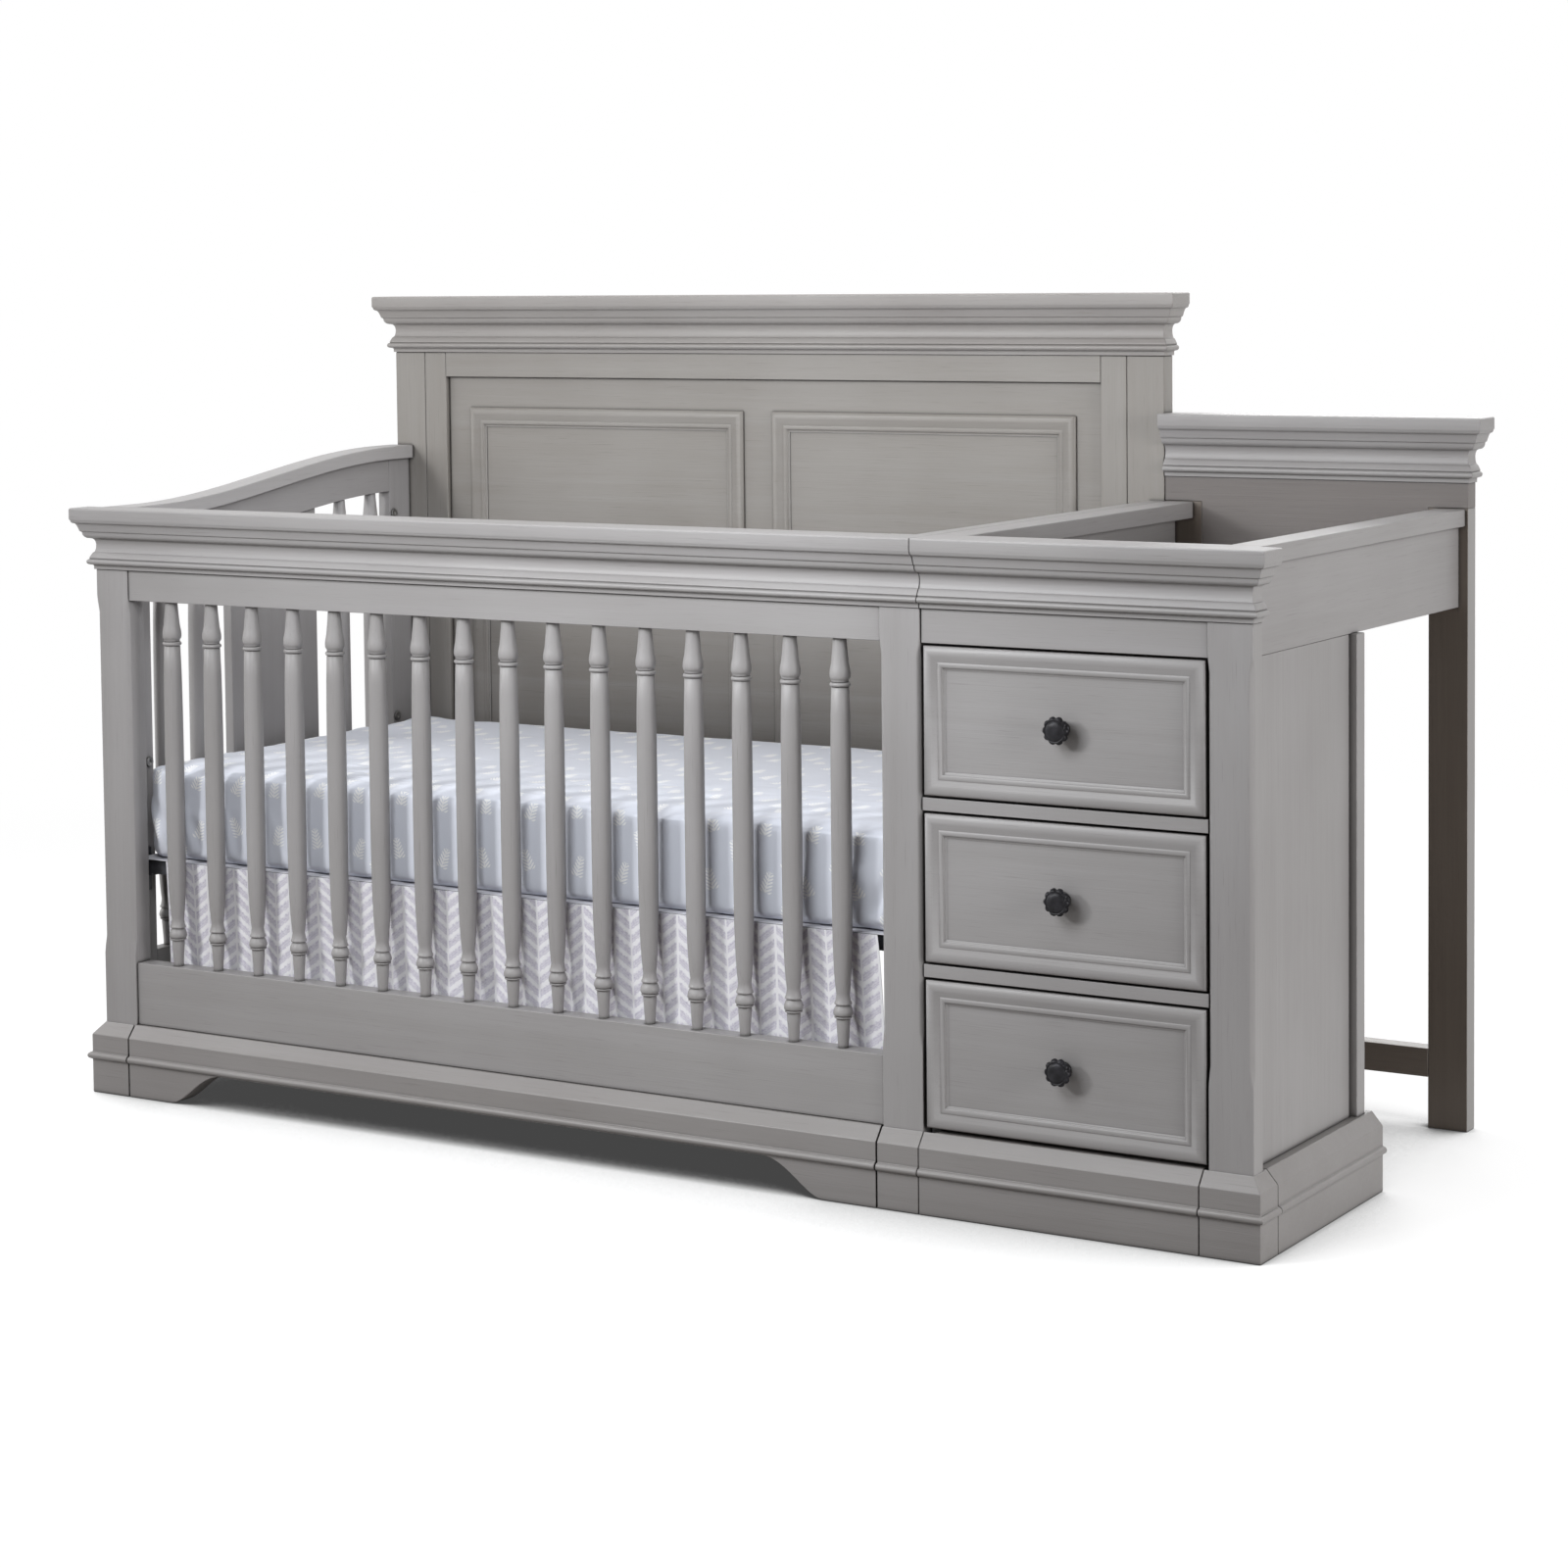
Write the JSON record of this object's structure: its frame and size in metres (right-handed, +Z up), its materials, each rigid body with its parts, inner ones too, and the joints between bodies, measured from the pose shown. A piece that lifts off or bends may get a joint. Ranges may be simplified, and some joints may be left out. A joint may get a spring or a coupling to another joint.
{
  "type": "crib with attached changer",
  "caption": "Stone-grey crib with turned spindles, panelled headboard and crown mouldings, joined to a chest of drawers with a changing tray.",
  "frame": {"origin": "on the floor, under the middle of the whole piece's bounding box", "axes": "+X along the front from the crib to the chest, +Y from the front to the headboard, +Z up"},
  "size_m": [1.885, 0.779, 1.16],
  "materials": {
    "stone_wood": "satin stone-grey stain over wood",
    "shaded_wood": "satin brown-grey stain over wood",
    "raw_wood": "clear lacquer over pale wood",
    "dark_iron": "dark bronzed iron",
    "grey_steel": "grey powder coat",
    "bolt_steel": "dark plated steel",
    "skirt_cotton": "cotton printed with grey chevrons",
    "sheet_cotton": "pale blue-grey cotton sheet with small white sprigs"
  },
  "bodies": {
    "root": {"front_left_post": "stone_wood", "front_right_post": "stone_wood", "front_top_rail": "stone_wood", "front_crown": "stone_wood", "front_bottom_rail": "stone_wood", "front_spindles": "stone_wood", "front_base": "stone_wood", "front_plinths": "stone_wood", "left_end_stiles": "stone_wood", "left_end_cap": "stone_wood", "left_end_top_rail": "stone_wood", "left_end_bottom_rail": "stone_wood", "left_end_panel": "stone_wood", "left_end_spindles": "stone_wood", "right_end_frame": "stone_wood", "right_end_cap": "stone_wood", "right_end_panel": "stone_wood", "right_end_spindles": "stone_wood", "headboard_posts": "stone_wood", "headboard_stiles": "stone_wood", "headboard_crown": "stone_wood", "headboard_top_rail": "stone_wood", "headboard_bottom_rail": "stone_wood", "headboard_panel": "stone_wood", "headboard_mouldings": "stone_wood", "mattress_frame": "grey_steel", "mattress_straps": "grey_steel", "frame_brackets": "grey_steel", "end_bolts": "bolt_steel", "crib_skirt": "skirt_cotton", "chest_corner_post": "stone_wood", "chest_left_side": "stone_wood", "chest_right_side": "stone_wood", "chest_rear_stile": "stone_wood", "chest_back": "stone_wood", "chest_bottom": "stone_wood", "chest_apron": "stone_wood", "chest_crown": "stone_wood", "chest_base": "stone_wood", "drawer_dividers": "stone_wood", "drawer_runners": "raw_wood", "tray_rims": "stone_wood", "tray_left_wall": "stone_wood", "tray_right_apron": "stone_wood", "tray_board": "stone_wood", "changer_crown": "stone_wood", "changer_back_rail": "stone_wood", "changer_back_legs": "shaded_wood", "changer_stretcher": "shaded_wood"},
    "mattress": {"mattress": "sheet_cotton"},
    "top_drawer": {"top_drawer_front": "stone_wood", "top_drawer_box": "raw_wood", "top_drawer_knob": "dark_iron"},
    "middle_drawer": {"middle_drawer_front": "stone_wood", "middle_drawer_box": "raw_wood", "middle_drawer_knob": "dark_iron"},
    "bottom_drawer": {"bottom_drawer_front": "stone_wood", "bottom_drawer_box": "raw_wood", "bottom_drawer_knob": "dark_iron"}
  },
  "joints": [
    {"name": "top_drawer_slide", "type": "slide", "parent": "root", "child": "top_drawer", "axis": [0, -1, 0], "range_m": [0, 0.28]},
    {"name": "middle_drawer_slide", "type": "slide", "parent": "root", "child": "middle_drawer", "axis": [0, -1, 0], "range_m": [0, 0.28]},
    {"name": "bottom_drawer_slide", "type": "slide", "parent": "root", "child": "bottom_drawer", "axis": [0, -1, 0], "range_m": [0, 0.28]},
    {"name": "mattress_lift", "type": "slide", "parent": "root", "child": "mattress", "axis": [0, 0, 1], "range_m": [0, 0.585]}
  ]
}
